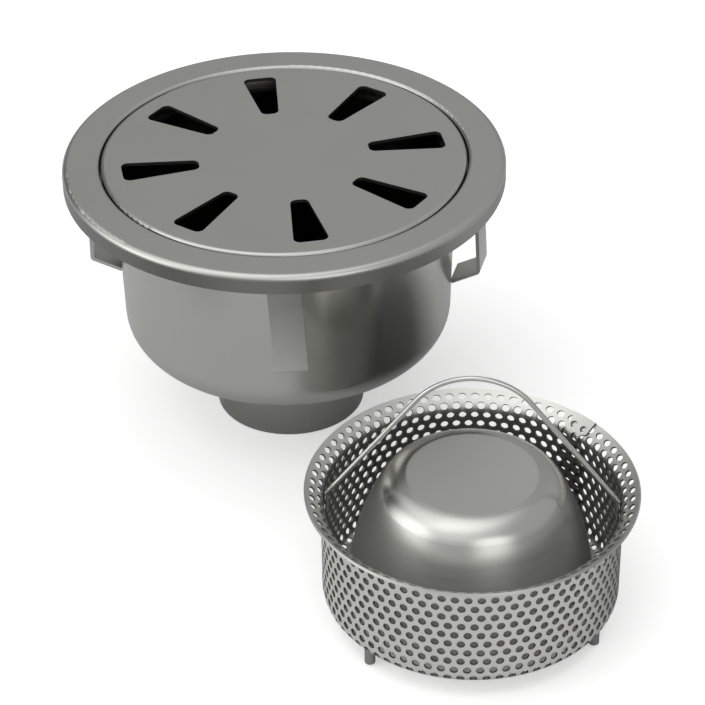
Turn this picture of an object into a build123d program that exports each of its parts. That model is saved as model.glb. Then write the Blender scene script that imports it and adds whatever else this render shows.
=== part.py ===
from build123d import *
import math
import os

# Floor gully of pressed and welded stainless sheet, in millimetres, +Z up.
# The origin is the centre of the outlet's lower end, which stands on the floor.
# The strainer basket with its trap bell is lifted out and stands beside it.

# Top frame: a flat ring with a turned-down lip and a recess for the cover
frame_height = 98.0
frame_radius = 75.0
frame_sheet = 1.2
flange_width = 12.5
lip_height = 6.5
lip_bend = 2.0
recess_bend = 1.2
seat_depth = 4.5
seat_width = 7.0
seat_bend = 0.4

# Cover: a shallow pressed lid with tapered slots, lying in the recess
cover_gap = 0.6
cover_sheet = 1.2
cover_bend = 1.2
slot_count = 8
slot_turn = 10.2
slot_edge = 6.9
slot_length = 26.0
slot_inner_width = 5.8
slot_outer_width = 12.0
slot_corner = 2.3

# Bowl: a drawn pan, slightly narrower at its foot, welded below the seat
bowl_mouth_inset = 4.4
bowl_taper = 1.6
bowl_bottom_height = 29.0
bowl_foot_bend = 12.0
bowl_sheet = 1.2

# Outlet: a tube with a shoulder and a weld bead below the bowl's floor, that rises
# through the floor as the trap's standpipe
outlet_radius = 26.0
outlet_wall = 1.2
outlet_shoulder = 0.2
outlet_bead = 0.8
standpipe_rise = 36.0

# Anchors: hand-bent straps welded below the frame and to the bowl, each a little off true,
# with the spread of their knees measured from the recess
anchor_turns = {"right": -5.0, "back": 88.0, "left": 180.0, "front": -90.0}
anchor_twists = {"right": -10.3, "back": 5.0, "left": 6.5, "front": 3.0}
anchor_leans = {"right": 0.5, "back": 0.5, "left": -0.5, "front": 3.1}
anchor_knee_spreads = {"right": 4.6, "back": 3.5, "left": 5.1, "front": 0.4}
anchor_knee_heights = {"right": 56.7, "back": 57.0, "left": 60.8, "front": 52.7}
anchor_wall_gap = 0.3
anchor_lip_gap = 3.6
anchor_width = 11.0
anchor_sheet = 1.2
anchor_foot_slope = 29.0
anchor_bend = 2.0

# Basket: perforated sheet, flared at the rim, turned in at the foot, lapped at a seam
basket_bearing = -63.18
basket_clearance = 3.2
basket_seat_gap = 2.9
basket_sheet = 0.8
basket_rim_height = 46.0
basket_flare = 5.2
basket_flare_rise = 3.7
basket_flare_bend = 3.0
basket_foot_bend = 3.8
basket_hem = 5.0
seam_turn = 41.0
seam_lap = 9.0

# Perforation: staggered rows of four-sided holes, at twice the pitch of the real round ones
hole_pitch = 8.0
hole_size = 4.4
hole_margin = 0.6
rim_hole_size = 2.4
rim_hole_edge = 1.4

# Feet: short round pins under the basket
foot_height = 6.2
foot_radius = 1.7
foot_chamfer = 0.5
foot_inset = 3.6
foot_turns = {"left": -138.0, "right": -29.5, "back": 96.0}

# Basket floor: a flat ring on the hem that carries the bell
floor_sheet = 1.0
floor_edge_gap = 0.2
floor_ledge = 8.5

# Trap bell: an inverted drawn cup with a flat top
bell_gap = 7.1
bell_height = 43.4
bell_waist_inset = 2.0
bell_waist_height = 22.0
bell_side_bend = 88.0
bell_crown_inset = 13.0
bell_crown_bend = 10.0
bell_sheet = 1.0

# Bail handle: one bent wire, both tails welded to the inside of the basket's wall
wire_radius = 0.8
weld_gap = 0.1
handle_turn = -4.0
handle_drop = 4.0
handle_tail = 6.0
handle_peak = 60.0
handle_crown_bend = 22.0
handle_tail_bend = 3.0

# Heights and radii that follow from the sizes above
frame_underside = frame_height - frame_sheet
recess_radius = frame_radius - flange_width
seat_height = frame_height - seat_depth
seat_radius = recess_radius - seat_width
cover_radius = recess_radius - cover_gap
bowl_mouth_height = seat_height - frame_sheet
bowl_mouth_radius = recess_radius - bowl_mouth_inset
bowl_foot_radius = bowl_mouth_radius - bowl_taper
standpipe_radius = outlet_radius - outlet_shoulder
anchor_top_radius = recess_radius + frame_sheet + anchor_wall_gap + anchor_sheet
anchor_tab_end = frame_radius - frame_sheet - anchor_lip_gap
basket_rim_radius = seat_radius - basket_seat_gap
basket_radius = basket_rim_radius - basket_flare
basket_bore = basket_radius - basket_sheet
bell_radius = basket_bore - bell_gap
basket_bend_height = basket_rim_height - basket_flare_rise
hem_top = foot_height + basket_sheet
hem_outer = basket_radius - basket_foot_bend
hem_inner = hem_outer - basket_hem
floor_top = hem_top + floor_sheet
basket_distance = frame_radius + basket_clearance + basket_rim_radius
basket_place = Rot(0, 0, basket_bearing) * Pos(basket_distance, 0, 0) * Rot(0, 0, -basket_bearing)


def fitting_bends(points, bends):
    """Bend radii, made smaller where two neighbouring bends would not fit on the run between."""
    runs = [b - a for a, b in zip(points, points[1:])]
    tangents = [math.tan(math.radians(a.get_angle(b) / 2)) for a, b in zip(runs, runs[1:])]
    used = [0.0] + [bend * tangent for bend, tangent in zip(bends, tangents)] + [0.0]
    room = [run.length * 0.98 / max(a + b, 1e-6) for run, a, b in zip(runs, used, used[1:])]
    return [bend * min(1.0, a, b) for bend, a, b in zip(bends, room, room[1:])]


def sheet_section(skin, bends, thickness):
    """Section of a folded sheet on the left side of a skin line, with a radius at each fold."""
    points = [Vector(x, y) for x, y in skin]
    bends = fitting_bends(points, bends)
    sides = [(b - a).normalized().rotate(Axis.Z, 90) for a, b in zip(points, points[1:])]
    inner = [points[0] + sides[0] * thickness]
    inner_bends = []
    for point, before, after, bend in zip(points[1:], sides, sides[1:], bends):
        inner.append(point + (before + after) * (thickness / (1 + before.dot(after))))
        turns_to_sheet = before.cross(after).Z > 0
        inner_bends.append(max(bend - thickness, 0) if turns_to_sheet else bend + thickness)
    inner.append(points[-1] + sides[-1] * thickness)
    outside = FilletPolyline(*points, radius=bends)
    inside = FilletPolyline(*inner, radius=inner_bends)
    ends = [Line(points[0], inner[0]), Line(points[-1], inner[-1])]
    return make_face(outside.edges() + inside.edges() + ends)


def revolved_sheet(skin, bends, thickness, turn=360):
    """Round sheet part: its section in the XZ plane turned about the Z axis."""
    return revolve(Plane.XZ * sheet_section(skin, bends, thickness), Axis.Z, turn)


def filled_round(skin, bends):
    """Solid of the space that a skin line takes up when it is turned about the Z axis."""
    points = [Vector(x, y) for x, y in skin]
    line = FilletPolyline(*points, radius=fitting_bends(points, bends))
    corners = [points[-1], Vector(0, points[-1].Y), Vector(0, points[0].Y), points[0]]
    closing = [Line(a, b) for a, b in zip(corners, corners[1:]) if (b - a).length > 0]
    return revolve(Plane.XZ * make_face(line.edges() + closing), Axis.Z)


def build_top_frame():
    skin = [
        (frame_radius, frame_height - lip_height),
        (frame_radius, frame_height),
        (recess_radius, frame_height),
        (recess_radius, seat_height),
        (seat_radius, seat_height),
    ]
    return revolved_sheet(skin, [lip_bend, recess_bend, seat_bend], frame_sheet)


def build_cover_plate():
    skin = [(cover_radius, seat_height), (cover_radius, frame_height), (0, frame_height)]
    lid = revolved_sheet(skin, [cover_bend], cover_sheet)
    outer_end = cover_radius - slot_edge
    inner_end = outer_end - slot_length
    corners = [
        (inner_end, -slot_inner_width / 2),
        (outer_end, -slot_outer_width / 2),
        (outer_end, slot_outer_width / 2),
        (inner_end, slot_inner_width / 2),
    ]
    outline = make_face(Polyline(*corners, close=True))
    outline = fillet(outline.vertices(), slot_corner)
    cutter = Pos(0, 0, seat_height) * extrude(outline, seat_depth + cover_sheet)
    return lid - [Rot(0, 0, slot_turn + 360 / slot_count * i) * cutter for i in range(slot_count)]


def bowl_skin(start_radius):
    """Outer line of the bowl, from the given radius out along the floor and up past its mouth."""
    foot = Vector(bowl_foot_radius, bowl_bottom_height)
    mouth = Vector(bowl_mouth_radius, bowl_mouth_height)
    above = mouth + (mouth - foot).normalized() * bowl_sheet
    return [(start_radius, bowl_bottom_height), (foot.X, foot.Y), (above.X, above.Y)]


def build_bowl():
    pan = revolved_sheet(bowl_skin(standpipe_radius), [bowl_foot_bend], bowl_sheet)
    return split(pan, Plane.XY.offset(bowl_mouth_height), keep=Keep.BOTTOM)


def build_outlet_pipe():
    bore = outlet_radius - outlet_wall
    top = bowl_bottom_height + standpipe_rise
    section = [
        (bore, 0),
        (outlet_radius, 0),
        (outlet_radius, bowl_bottom_height - outlet_bead),
        (outlet_radius + outlet_bead, bowl_bottom_height),
        (standpipe_radius, bowl_bottom_height),
        (standpipe_radius, top),
        (bore, top),
    ]
    return revolve(Plane.XZ * make_face(Polyline(*section, close=True)), Axis.Z)


def bowl_radius_at(height):
    """Outer radius of the bowl's tapered side at the given height."""
    rise = (height - bowl_bottom_height) / (bowl_mouth_height - bowl_bottom_height)
    return bowl_foot_radius + bowl_taper * rise


def build_anchor(name):
    """One strap: a tab under the frame, a leg down to the knee and a foot that ends on the bowl."""
    knee_radius = recess_radius + anchor_knee_spreads[name]
    knee_height = anchor_knee_heights[name]
    foot_end = bowl_radius_at(knee_height)
    drop = (knee_radius - foot_end) * math.tan(math.radians(anchor_foot_slope))
    tab_bottom = frame_underside - anchor_sheet
    skin = [
        (foot_end, knee_height - drop),
        (knee_radius, knee_height),
        (anchor_top_radius, tab_bottom),
        (anchor_tab_end, tab_bottom),
    ]
    section = sheet_section(skin, [anchor_bend, anchor_bend], anchor_sheet)
    strap = extrude(Plane.XZ * section, anchor_width / 2, both=True)
    tab_corner = Pos(anchor_top_radius, 0, tab_bottom)
    strap = tab_corner * Rot(anchor_leans[name], 0, 0) * tab_corner.inverse() * strap
    strap = split(strap, Plane.XY.offset(frame_underside), keep=Keep.BOTTOM)
    twist = anchor_twists[name]
    outward = anchor_width / 2 * math.sin(math.radians(abs(twist)))
    strap = Pos(anchor_top_radius + outward, 0, 0) * Rot(0, 0, twist) * Pos(-anchor_top_radius, 0, 0) * strap
    strap = Rot(0, 0, anchor_turns[name]) * strap
    return strap - filled_round(bowl_skin(0), [bowl_foot_bend])


def basket_skin():
    """Outer line of the basket's wall, from the hem's edge out, up and over the flare."""
    return [
        (hem_inner, foot_height),
        (basket_radius, foot_height),
        (basket_radius, basket_bend_height),
        (basket_rim_radius, basket_rim_height),
    ]


def build_basket_wall():
    wall = revolved_sheet(basket_skin(), [basket_foot_bend, basket_flare_bend], basket_sheet)
    lap_skin = [(basket_radius, floor_top + basket_foot_bend)] + basket_skin()[2:]
    lap = revolved_sheet(lap_skin, [basket_flare_bend], 2 * basket_sheet, seam_lap)
    wall += Rot(0, 0, seam_turn) * lap
    return wall - perforation()


def sector_block(inner, outer, low, high, width):
    """Block between two radii and two heights, as wide as given and centred on the X axis."""
    turn = math.degrees(width / outer)
    section = Pos((inner + outer) / 2, (low + high) / 2) * Rectangle(outer - inner, high - low)
    return Rot(0, 0, -turn / 2) * revolve(Plane.XZ * section, Axis.Z, turn)


def perforation():
    """Cutters for staggered rows of holes up the wall, and for one row in the flare."""
    edge = hole_margin + hole_size / 2
    low = foot_height + basket_foot_bend + edge
    high = basket_bend_height - basket_flare_bend / 2 - edge
    row_pitch = hole_pitch * math.sin(math.radians(60))
    rows = int((high - low) / row_pitch) + 1
    first = (low + high - (rows - 1) * row_pitch) / 2
    heights = [first + row * row_pitch for row in range(rows)]
    inner, outer = basket_bore - 2 * basket_sheet, basket_radius + basket_sheet
    half = hole_size / 2
    cutters = [sector_block(inner, outer, z - half, z + half, hole_size) for z in heights]
    outer = basket_rim_radius - rim_hole_edge
    top = basket_rim_height + 2 * basket_sheet
    cutters.append(sector_block(outer - rim_hole_size, outer, basket_bend_height, top, rim_hole_size))
    columns = round(2 * math.pi * basket_radius / hole_pitch)
    turns = [360 / columns * i for i in range(columns)]
    shift = 180 / columns
    return [Rot(0, 0, t + shift * (i % 2)) * cutter for i, cutter in enumerate(cutters) for t in turns]


def build_basket_floor():
    ring = Circle(hem_outer - floor_edge_gap) - Circle(bell_radius - floor_ledge)
    return Pos(0, 0, hem_top) * extrude(ring, floor_sheet)


def build_foot(turn):
    """One pin with a bevelled end, its top shaped to the basket's rounded foot."""
    pin = extrude(Circle(foot_radius), foot_height + basket_foot_bend)
    pin = chamfer(pin.edges().sort_by(Axis.Z)[0], foot_chamfer)
    pin = Rot(0, 0, turn) * Pos(basket_radius - foot_inset, 0, 0) * pin
    return pin - filled_round(basket_skin(), [basket_foot_bend, basket_flare_bend])


def build_trap_bell():
    base = Vector(bell_radius, floor_top)
    waist = Vector(bell_radius - bell_waist_inset, floor_top + bell_waist_height)
    below = base + (base - waist).normalized() * bell_sheet
    skin = [
        (below.X, below.Y),
        (waist.X, waist.Y),
        (bell_radius - bell_crown_inset, floor_top + bell_height),
        (0, floor_top + bell_height),
    ]
    bell = revolved_sheet(skin, [bell_side_bend, bell_crown_bend], bell_sheet)
    return split(bell, Plane.XY.offset(floor_top), keep=Keep.TOP)


def build_bail_handle():
    reach = basket_bore - wire_radius - weld_gap
    bend_height = basket_rim_height - handle_drop
    points = [
        (-reach, bend_height - handle_tail),
        (-reach, bend_height),
        (0, bend_height + handle_peak),
        (reach, bend_height),
        (reach, bend_height - handle_tail),
    ]
    bends = [handle_tail_bend, handle_crown_bend, handle_tail_bend]
    path = Plane.XZ * FilletPolyline(*points, radius=bends)
    start = Plane(origin=path @ 0, z_dir=path % 0)
    return Rot(0, 0, handle_turn) * sweep(start * Circle(wire_radius), path)


def build_gully():
    pieces = {
        "top_frame": build_top_frame(),
        "cover_plate": build_cover_plate(),
        "bowl": build_bowl(),
        "outlet_pipe": build_outlet_pipe(),
    }
    for name in anchor_turns:
        pieces["anchor_" + name] = build_anchor(name)
    return pieces


def build_basket():
    pieces = {
        "basket_wall": build_basket_wall(),
        "basket_floor": build_basket_floor(),
        "trap_bell": build_trap_bell(),
        "bail_handle": build_bail_handle(),
    }
    for name, turn in foot_turns.items():
        pieces["basket_foot_" + name] = build_foot(turn)
    return {name: basket_place * piece for name, piece in pieces.items()}


os.makedirs("parts", exist_ok=True)
for name, piece in (build_gully() | build_basket()).items():
    export_step(piece, "parts/" + name + ".step")
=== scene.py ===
import math

import bmesh
import bpy
from mathutils import Matrix, Vector


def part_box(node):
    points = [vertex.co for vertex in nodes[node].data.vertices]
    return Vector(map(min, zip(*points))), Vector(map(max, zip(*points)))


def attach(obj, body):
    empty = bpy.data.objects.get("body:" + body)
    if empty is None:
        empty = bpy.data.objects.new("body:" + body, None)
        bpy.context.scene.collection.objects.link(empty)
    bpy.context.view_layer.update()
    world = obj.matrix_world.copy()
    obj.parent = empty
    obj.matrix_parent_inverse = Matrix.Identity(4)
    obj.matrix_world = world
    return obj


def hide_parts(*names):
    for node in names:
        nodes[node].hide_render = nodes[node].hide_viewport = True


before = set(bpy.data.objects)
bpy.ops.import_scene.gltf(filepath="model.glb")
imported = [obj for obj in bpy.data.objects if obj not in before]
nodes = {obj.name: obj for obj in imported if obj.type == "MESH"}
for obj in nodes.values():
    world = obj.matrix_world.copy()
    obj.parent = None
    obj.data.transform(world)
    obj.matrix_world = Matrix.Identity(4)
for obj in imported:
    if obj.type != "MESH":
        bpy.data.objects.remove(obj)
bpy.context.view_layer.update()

MM = 0.001

# The viewpoint: place in metres, elevation and roll in degrees, film and lens in millimetres
camera_place = (0.02223, -0.7539, 0.5419)
camera_elevation = 34.87
camera_roll = -0.74
camera_film = 36.0
camera_lens = 131.83

# The basket's axis, and the sizes of its wall as in the part's source, in millimetres
basket_low, basket_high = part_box("basket_wall")
basket_axis = Vector(((basket_low[0] + basket_high[0]) / 2, (basket_low[1] + basket_high[1]) / 2, 0))
wall_radius = 47.4
wall_sheet = 0.8
rim_radius = 52.6
rim_height = 46.0
flare_start = 42.3
flare_bend = 3.0
foot_bend = 3.8
foot_height = 6.2
hem = 5.0

# The real sheet's perforation in millimetres: round holes in staggered rows, each in a hexagonal cell
hole_columns = 74
hole_rows = 13
hole_radius = 1.3
row_pitch = 3.464
rim_to_first_row = 1.65
first_hole = 0.72       # from +X, as a share of the pitch
flare_shift = 1.2       # how far the press pushes the outermost holes away from the rim
side_points = 3         # points on each side of a cell, and so on each sixth of its hole

# The lap at the seam: a second layer inside the wall, whose holes don't meet those of the first
lap_first_column = 7
lap_columns = 2
lap_rows = 11
lap_drift = (1.7, 1.5)  # round the wall and down

# Cut faces of the sheet take their own tones, a painted shade on the holes' walls and a painted shade that
# dims the rim's edge, and edges that turn by more than this stay sharp
hole_face = 1
rim_face = 2
sharp_edge = math.radians(40)

# The room's walls: brightness at the horizon and above it, and the height of a unit vector where it is full
horizon_level = 0.24
wall_level = 0.53
wall_rise = 0.16

# Areas of the room, in degrees: azimuth, elevation, radius of the even middle and of the soft edge.
# The corner keeps a share of the walls' brightness, and each light adds the strength that comes last.
dark_corner = (147, 37, 33, 38)
corner_share = 0.1
room_lights = [
    (153, 71, 7, 47, 0.95),
    (-171, 14, 0, 37, 2.0),
    (-68, 21, 0, 28, 1.75),
    (-139, 58, 0, 60, 0.84),
    (0, 35, 15, 60, 0.14),
]

# The floor in metres, its tone and glow as the camera sees them, and its tone in mirror images
floor_half = 3.0
floor_height = -0.0002
seen_floor = 0.8
floor_glow = 0.42
mirrored_floor = 0.62

# Painted reflections: dark and bright cards on the floor that only the metal mirrors: x, y and reach in
# metres, soft edge as a share, and tone
painted_reflection_cards = [
    (0.115, -0.062, 0.088, 0.58, 0.12),
    (-0.20, -0.18, 0.12, 0.6, 0.40),
    (0.27, 0.0, 0.14, 0.6, 1.8),
]

# The steel's finish: scale of its grain and of its cloudy tone, the grain's depth and its change of gloss
grain_scale = 900.0
cloud_scale = 38.0
grain_depth = 0.00003
gloss_change = 0.03
inward_full = 0.95      # inward_full = 0.95 # how squarely a face looks inwards where the painted inside shade is full


def place_camera():
    """A long lens, 35 degrees above the floor and rolled by less than a degree."""
    camera = bpy.data.objects.new("camera", bpy.data.cameras.new("camera"))
    bpy.context.scene.collection.objects.link(camera)
    camera.data.sensor_width = camera_film
    camera.data.lens = camera_lens
    pitch = math.radians(90 - camera_elevation)
    roll = math.radians(camera_roll)
    turn = Matrix.Rotation(pitch, 4, "X") @ Matrix.Rotation(roll, 4, "Z")
    camera.matrix_world = Matrix.Translation(camera_place) @ turn
    bpy.context.scene.camera = camera


def ramp(tree, value, start, end, before, after, smooth=False):
    """A level that runs from BEFORE to AFTER while VALUE runs from START to END."""
    node = tree.nodes.new("ShaderNodeMapRange")
    if smooth:
        node.interpolation_type = "SMOOTHSTEP"
    node.inputs["From Min"].default_value = start
    node.inputs["From Max"].default_value = end
    node.inputs["To Min"].default_value = before
    node.inputs["To Max"].default_value = after
    tree.links.new(value, node.inputs["Value"])
    return node.outputs["Result"]


def combined(tree, operation, first, second):
    """Two levels multiplied or added, or the larger of them."""
    node = tree.nodes.new("ShaderNodeMath")
    node.operation = operation
    tree.links.new(first, node.inputs[0])
    tree.links.new(second, node.inputs[1])
    return node.outputs["Value"]


def tinted(tree, colour, level):
    """A colour times a level."""
    node = tree.nodes.new("ShaderNodeVectorMath")
    node.operation = "SCALE"
    node.inputs["Vector"].default_value = colour
    tree.links.new(level, node.inputs["Scale"])
    return node.outputs["Vector"]


def upright_part(tree, vector):
    """The Z part of a vector."""
    parts = tree.nodes.new("ShaderNodeSeparateXYZ")
    tree.links.new(vector, parts.inputs["Vector"])
    return parts.outputs["Z"]


def by_viewer(tree, seen, mirrored):
    """One shader for what the camera sees itself, and another for light and mirror images."""
    path = tree.nodes.new("ShaderNodeLightPath")
    mix = tree.nodes.new("ShaderNodeMixShader")
    tree.links.new(path.outputs["Is Camera Ray"], mix.inputs["Fac"])
    tree.links.new(mirrored, mix.inputs[1])
    tree.links.new(seen, mix.inputs[2])
    return mix.outputs["Shader"]


def toward(azimuth, elevation):
    """Unit vector to a direction of the room, in degrees from +X and from the floor."""
    a, e = math.radians(azimuth), math.radians(elevation)
    return Vector((math.cos(e) * math.cos(a), math.cos(e) * math.sin(a), math.sin(e)))


def soft_area(tree, way, area, far, near):
    """A level that runs softly from NEAR inside an area of the room to FAR outside it."""
    azimuth, elevation, inner, outer = area
    match = tree.nodes.new("ShaderNodeVectorMath")
    match.operation = "DOT_PRODUCT"
    match.inputs[1].default_value = toward(azimuth, elevation)
    tree.links.new(way, match.inputs[0])
    start, end = math.cos(math.radians(outer)), math.cos(math.radians(inner))
    return ramp(tree, match.outputs["Value"], start, end, far, near, smooth=True)


def light_the_room():
    """A room with broad soft lights, dim at the floor's horizon and behind to the left."""
    world = bpy.data.worlds.new("room")
    bpy.context.scene.world = world
    world.use_nodes = True
    tree = world.node_tree
    tree.nodes.clear()
    way = tree.nodes.new("ShaderNodeTexCoord").outputs["Generated"]
    walls = ramp(tree, upright_part(tree, way), 0.0, wall_rise, horizon_level, wall_level, smooth=True)
    level = combined(tree, "MULTIPLY", walls, soft_area(tree, way, dark_corner, 1.0, corner_share))
    for *area, strength in room_lights:
        level = combined(tree, "ADD", level, soft_area(tree, way, area, 0.0, strength))
    room = tree.nodes.new("ShaderNodeBackground")
    tree.links.new(level, room.inputs["Strength"])
    backdrop = tree.nodes.new("ShaderNodeBackground")
    backdrop.inputs["Color"].default_value = (1, 1, 1, 1)
    shown = by_viewer(tree, backdrop.outputs["Background"], room.outputs["Background"])
    out = tree.nodes.new("ShaderNodeOutputWorld")
    tree.links.new(shown, out.inputs["Surface"])


def reflection_card_tone(tree, where, card):
    """Tone of one painted reflection card on the floor: 1 outside its reach, and its own tone in the middle.
    """
    x, y, reach, edge, tone = card
    place = tree.nodes.new("ShaderNodeMapping")
    place.vector_type = "TEXTURE"
    place.inputs["Location"].default_value = (x, y, 0)
    place.inputs["Scale"].default_value = (reach, reach, 1)
    tree.links.new(where, place.inputs["Vector"])
    spot = tree.nodes.new("ShaderNodeTexGradient")
    spot.gradient_type = "SPHERICAL"
    tree.links.new(place.outputs["Vector"], spot.inputs["Vector"])
    return ramp(tree, spot.outputs["Fac"], 0.0, edge, 1.0, tone)


def floor_finish():
    """White to the camera, with the shadow kept, and grey with its painted reflection cards where metal
    mirrors it.
    """
    material = bpy.data.materials.new("floor_white")
    material.use_nodes = True
    tree = material.node_tree
    tree.nodes.clear()
    plain = tree.nodes.new("ShaderNodeBsdfDiffuse")
    plain.inputs["Color"].default_value = (seen_floor, seen_floor, seen_floor, 1)
    glow = tree.nodes.new("ShaderNodeEmission")
    glow.inputs["Color"].default_value = (1, 1, 1, 1)
    glow.inputs["Strength"].default_value = floor_glow
    seen = tree.nodes.new("ShaderNodeAddShader")
    tree.links.new(plain.outputs["BSDF"], seen.inputs[0])
    tree.links.new(glow.outputs["Emission"], seen.inputs[1])
    where = tree.nodes.new("ShaderNodeTexCoord").outputs["Object"]
    level = reflection_card_tone(tree, where, painted_reflection_cards[0])
    for card in painted_reflection_cards[1:]:
        level = combined(tree, "MULTIPLY", level, reflection_card_tone(tree, where, card))
    mirrored = tree.nodes.new("ShaderNodeBsdfDiffuse")
    tint = tinted(tree, (mirrored_floor, mirrored_floor, mirrored_floor), level)
    tree.links.new(tint, mirrored.inputs["Color"])
    shown = by_viewer(tree, seen.outputs["Shader"], mirrored.outputs["BSDF"])
    out = tree.nodes.new("ShaderNodeOutputMaterial")
    tree.links.new(shown, out.inputs["Surface"])
    return material


def pale_floor():
    """A plain floor just under the outlet and the feet."""
    mesh = bpy.data.meshes.new("floor")
    corners = [(x * floor_half, y * floor_half, 0) for x, y in ((-1, -1), (1, -1), (1, 1), (-1, 1))]
    mesh.from_pydata(corners, [], [(0, 1, 2, 3)])
    mesh.materials.append(floor_finish())
    floor = bpy.data.objects.new("floor", mesh)
    bpy.context.scene.collection.objects.link(floor)
    floor.location.z = floor_height


def by_slope(tree, start, end, before, after):
    """A level that changes with a face's slope: START and END are the upward part of its normal."""
    face = tree.nodes.new("ShaderNodeNewGeometry")
    return ramp(tree, upright_part(tree, face.outputs["Normal"]), start, end, before, after)


def by_height(tree, low, high, below, above):
    """A level that changes with height, in metres."""
    where = tree.nodes.new("ShaderNodeTexCoord")
    return ramp(tree, upright_part(tree, where.outputs["Object"]), low, high, below, above)


def painted_inside_shade(tree, centre, start, tone, upward):
    """Painted shade on a part's inside: faces turned to its upright axis, and where asked also those turned
    up.
    """
    face = tree.nodes.new("ShaderNodeNewGeometry")
    arm = tree.nodes.new("ShaderNodeVectorMath")
    arm.operation = "SUBTRACT"
    arm.inputs[1].default_value = centre
    tree.links.new(face.outputs["Position"], arm.inputs[0])
    flat = tree.nodes.new("ShaderNodeVectorMath")
    flat.operation = "MULTIPLY"
    flat.inputs[1].default_value = (-1, -1, 0)
    tree.links.new(arm.outputs["Vector"], flat.inputs[0])
    inward = tree.nodes.new("ShaderNodeVectorMath")
    inward.operation = "NORMALIZE"
    tree.links.new(flat.outputs["Vector"], inward.inputs[0])
    turned = tree.nodes.new("ShaderNodeVectorMath")
    turned.operation = "DOT_PRODUCT"
    tree.links.new(inward.outputs["Vector"], turned.inputs[0])
    tree.links.new(face.outputs["Normal"], turned.inputs[1])
    measure = turned.outputs["Value"]
    if upward:
        measure = combined(tree, "MAXIMUM", measure, upright_part(tree, face.outputs["Normal"]))
    return ramp(tree, measure, start, inward_full, 1.0, tone)


def noise(tree, where, scale, detail):
    """A noise of this scale, from 0 to 1."""
    node = tree.nodes.new("ShaderNodeTexNoise")
    node.inputs["Scale"].default_value = scale
    node.inputs["Detail"].default_value = detail
    tree.links.new(where, node.inputs["Vector"])
    return node.outputs["Fac"]


def steel(name, colour, roughness, bump=0.08, wear=0.05, streak=(1, 1, 1), shade=None, dull=None):
    """Satin stainless steel: a fine grain in the finish, with cloudy changes of tone and gloss, and a
    painted light or shade on its tone where one is given.
    """
    material = bpy.data.materials.new(name)
    material.use_nodes = True
    tree = material.node_tree
    shader = tree.nodes["Principled BSDF"]
    shader.inputs["Metallic"].default_value = 1.0
    where = tree.nodes.new("ShaderNodeTexCoord").outputs["Object"]
    stretch = tree.nodes.new("ShaderNodeMapping")
    stretch.inputs["Scale"].default_value = streak
    tree.links.new(where, stretch.inputs["Vector"])
    fine = noise(tree, stretch.outputs["Vector"], grain_scale, detail=4.0)
    cloudy = noise(tree, where, cloud_scale, detail=3.0)
    tone = ramp(tree, cloudy, 0.0, 1.0, 1.0 - wear, 1.0 + wear)
    # Painted light or shade, where given, multiplies the tone.
    if shade is not None:
        tone = combined(tree, "MULTIPLY", tone, shade(tree))
    tree.links.new(tinted(tree, colour, tone), shader.inputs["Base Color"])
    matt = ramp(tree, fine, 0.0, 1.0, roughness - gloss_change, roughness + gloss_change)
    if dull is not None:
        matt = combined(tree, "ADD", matt, dull(tree))
    tree.links.new(matt, shader.inputs["Roughness"])
    relief = tree.nodes.new("ShaderNodeBump")
    relief.inputs["Strength"].default_value = bump
    relief.inputs["Distance"].default_value = grain_depth
    tree.links.new(fine, relief.inputs["Height"])
    tree.links.new(relief.outputs["Normal"], shader.inputs["Normal"])
    return material


def pressed_painted_shade(tree):
    """Painted shade: the lip that is turned down round the frame is darker than its flat face."""
    return by_slope(tree, start=0.05, end=0.5, before=0.45, after=1.0)


def drawn_painted_shade(tree):
    """Painted shade: the bowl is darker inside, and so is the outlet below it."""
    inside = painted_inside_shade(tree, (0, 0, 0), start=0.70, tone=0.25, upward=True)
    outlet = by_height(tree, low=0.020, high=0.029, below=0.80, above=1.0)
    return combined(tree, "MULTIPLY", inside, outlet)


def strap_painted_light(tree):
    """Painted light: the straps are paler towards their feet."""
    return by_height(tree, low=0.053, high=0.080, below=1.75, above=1.0)


def sheet_painted_shade(tree):
    """Painted shade: the basket's wall is darker inside."""
    return painted_inside_shade(tree, basket_axis, start=0.40, tone=0.42, upward=False)


def bell_painted_shade(tree):
    """Painted shade: the bell's side is darker than its crown."""
    return by_slope(tree, start=0.25, end=0.62, before=0.82, after=1.0)


def bell_dullness(tree):
    """The bell's flat top is the most matt, its drawn side less so, and its crown glossy."""
    side = by_slope(tree, start=0.25, end=0.56, before=0.16, after=0.0)
    top = by_slope(tree, start=0.997, end=0.9995, before=0.0, after=0.22)
    return combined(tree, "ADD", side, top)


def dress(names, material):
    """Gives pieces of the frame their material."""
    for name in names:
        mesh = nodes[name].data
        mesh.materials.clear()
        mesh.materials.append(material)


def skin_runs():
    """Runs and bends of the wall's outer skin, from the flare's edge down and in under the foot."""
    slope = math.atan2(flare_start - rim_height, wall_radius - rim_radius)
    turn = -math.pi / 2 - slope
    flare_cut = flare_bend * math.tan(turn / 2)
    foot_cut = foot_bend * math.tan(math.pi / 4)
    flare_length = math.hypot(rim_radius - wall_radius, rim_height - flare_start)
    runs = [
        (flare_length - flare_cut, 0.0),
        (flare_bend * turn, 1 / flare_bend),
        (flare_start - foot_height - flare_cut - foot_cut, 0.0),
        (foot_bend * math.pi / 2, -1 / foot_bend),
        (hem, 0.0),
    ]
    return slope, runs


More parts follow.
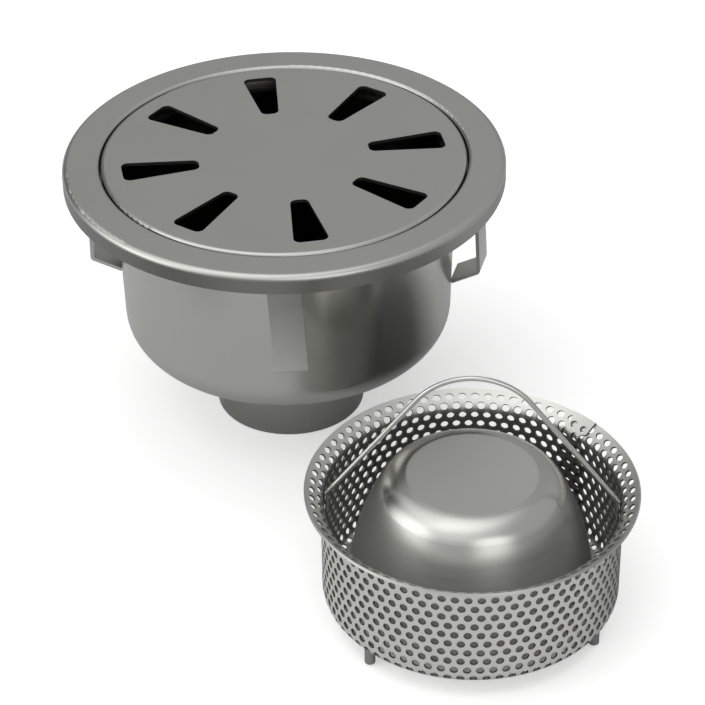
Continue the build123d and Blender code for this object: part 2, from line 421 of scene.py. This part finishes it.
def skin_point(turn, s, depth):
    """Point of the wall at an angle, a path length down from the rim and a depth below the skin."""
    heading, runs = skin_runs()
    x, y = rim_radius, rim_height
    for span, curve in runs:
        step = min(s, span)
        after = heading + curve * step
        if curve:
            x += (math.sin(after) - math.sin(heading)) / curve
            y -= (math.cos(after) - math.cos(heading)) / curve
        else:
            x += step * math.cos(heading)
            y += step * math.sin(heading)
        heading = after
        s -= step
        if s <= 0:
            break
    x += depth * math.sin(heading)
    y -= depth * math.cos(heading)
    return Vector((x * math.cos(turn), x * math.sin(turn), y)) * MM + basket_axis


def pressed_path(s):
    """Path length of a point once the flare is pressed: its rows of holes close up, away from the rim."""
    start = rim_to_first_row - hole_radius
    end = rim_to_first_row + 2 * row_pitch
    return s + flare_shift * max(min(s / start, (end - s) / (end - start)), 0.0)


def cell_outline(side):
    """Points round a hexagon that has a corner at its top."""
    points = []
    for i in range(6):
        a, b = math.radians(90 + 60 * i), math.radians(150 + 60 * i)
        for k in range(side_points):
            t = k / side_points
            x = math.cos(a) * (1 - t) + math.cos(b) * t
            y = math.sin(a) * (1 - t) + math.sin(b) * t
            points.append((side * x, side * y))
    return points


def make_solid(mesh):
    """Thickens a skin inwards, marks the faces that a cut leaves bare and keeps its edges sharp."""
    mesh.normal_update()
    skin = set(mesh.verts)
    bmesh.ops.solidify(mesh, geom=mesh.faces[:], thickness=wall_sheet * MM)
    bmesh.ops.recalc_face_normals(mesh, faces=mesh.faces)
    for face in mesh.faces:
        face.smooth = True
        on_skin = sum(corner in skin for corner in face.verts)
        if 0 < on_skin < len(face.verts):
            way_out = (face.calc_center_median() - basket_axis).xy.length
            face.material_index = rim_face if way_out > (rim_radius - wall_sheet) * MM else hole_face
    for edge in mesh.edges:
        edge.smooth = len(edge.link_faces) == 2 and edge.calc_face_angle(0) < sharp_edge


def perforated_sheet(name, first_column, columns, rows, drift, depth):
    """A sheet with a hexagonal cell round each hole, and plain bands at its two edges."""
    pitch = 2 * math.pi * wall_radius / hole_columns
    around = pitch * hole_columns
    side = pitch / math.sqrt(3)
    stretch = row_pitch / (1.5 * side)
    hexagon = cell_outline(side)
    columns_used = range(first_column, first_column + columns)
    path_end = sum(span for span, _ in skin_runs()[1])
    last_edge = path_end if rows == hole_rows else rim_to_first_row + drift[1] + rows * row_pitch
    mesh = bmesh.new()
    spots = {}

    def vertex(x, s):
        """The vertex at a length round the wall and one down it, shared by all the faces that meet there."""
        s = max(s, 0.0)
        key = (round(x % around, 3) % round(around, 3), round(s, 4))
        if key not in spots:
            spots[key] = mesh.verts.new(skin_point((x + drift[0]) / wall_radius, pressed_path(s), depth))
        return spots[key]

    def centre(row, column):
        """Middle of a hole."""
        x = pitch * (column + first_hole + 0.5 * (row % 2))
        return x, rim_to_first_row + drift[1] + row * row_pitch

    for row in range(rows):
        for column in columns_used:
            x, s = centre(row, column)
            cell = [vertex(x + u, s - v * stretch) for u, v in hexagon]
            hole = []
            for u, v in hexagon:
                reach = math.hypot(u, v) / hole_radius
                hole.append(vertex(x + u / reach, s - v / reach))
            for i in range(len(cell)):
                n = (i + 1) % len(cell)
                mesh.faces.new((cell[i], cell[n], hole[n], hole[i]))

    # The bands run in two steps from the outer two sides of each outermost cell to the sheet's edge.
    # The lowest points of those sides lie half a side from the row's middle.
    just_below = side * 0.49
    for row, edge, sign in ((0, 0.0, -1), (rows - 1, last_edge, 1)):
        chain = sorted((u, -v * stretch) for u, v in hexagon if -v * sign > just_below)
        for column in columns_used:
            x, s = centre(row, column)
            previous = [vertex(x + u, s + v) for u, v in chain]
            for t in (0.5, 1.0):
                current = [vertex(x + u, (s + v) * (1 - t) + edge * t) for u, v in chain]
                for i in range(len(chain) - 1):
                    loop = list(dict.fromkeys((previous[i], previous[i + 1], current[i + 1], current[i])))
                    if len(loop) > 2:
                        mesh.faces.new(loop if sign < 0 else loop[::-1])
                previous = current
    make_solid(mesh)
    data = bpy.data.meshes.new(name)
    mesh.to_mesh(data)
    mesh.free()
    piece = bpy.data.objects.new(name, data)
    bpy.context.scene.collection.objects.link(piece)
    return piece


place_camera()
light_the_room()
pale_floor()

# Painted shade on the frame's turned-down lip.
pressed = steel("satin_steel", (0.51, 0.51, 0.485), roughness=0.36, shade=pressed_painted_shade)
# Painted shade inside the bowl and on the outlet under it.
drawn = steel("drawn_steel", (0.53, 0.53, 0.50), roughness=0.24, streak=(1, 1, 0.25), shade=drawn_painted_shade)
# Painted shade: the straps' steel is darker than the bowl's, with painted light towards their feet.
strap_light_and_shade = steel("strap_steel", (0.36, 0.36, 0.34), roughness=0.34, shade=strap_painted_light)
# Painted light: the basket's steel is paler than the rest, with painted shade inside it.
sheet = steel("basket_steel", (0.76, 0.76, 0.72), roughness=0.42, shade=sheet_painted_shade)
# Painted shade: the holes' walls are near black.
cut = steel("hole_wall_painted_shade", (0.16, 0.16, 0.15), roughness=0.55)
# Painted shade that dims the highlight on the rim's edge.
rim = steel("rim_edge_painted_shade", (0.44, 0.44, 0.42), roughness=0.45)
# Painted shade: the feet under the basket are darker than its wall.
pin_painted_shade = steel("pin_steel_painted_shade", (0.36, 0.36, 0.34), roughness=0.40)
wire = steel("wire_steel", (0.58, 0.58, 0.55), roughness=0.25, bump=0.03)
# Painted shade on the bell's side.
polished = steel("bell_steel", (0.54, 0.54, 0.51), roughness=0.24, bump=0.03, wear=0.03,
                 shade=bell_painted_shade, dull=bell_dullness)

dress(["top_frame", "cover_plate"], pressed)
dress(["bowl", "outlet_pipe"], drawn)
dress(["anchor_right", "anchor_back", "anchor_left", "anchor_front"], strap_light_and_shade)
dress(["basket_floor"], sheet)
dress(["basket_foot_left", "basket_foot_right", "basket_foot_back"], pin_painted_shade)
dress(["trap_bell"], polished)
dress(["bail_handle"], wire)

wall = perforated_sheet("perforated_wall", first_column=0, columns=hole_columns, rows=hole_rows,
                        drift=(0, 0), depth=0.0)
lap = perforated_sheet("seam_lap", first_column=lap_first_column, columns=lap_columns, rows=lap_rows,
                       drift=lap_drift, depth=wall_sheet)
# The wall's tones: painted light and painted shade on the sheet, painted shade on the holes' walls and on
# the rim's edge.
for finish in (sheet, cut, rim):
    wall.data.materials.append(finish)
    lap.data.materials.append(finish)
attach(wall, "root")
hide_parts("basket_wall")
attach(lap, "root")

bpy.context.scene.view_settings.view_transform = "Standard"
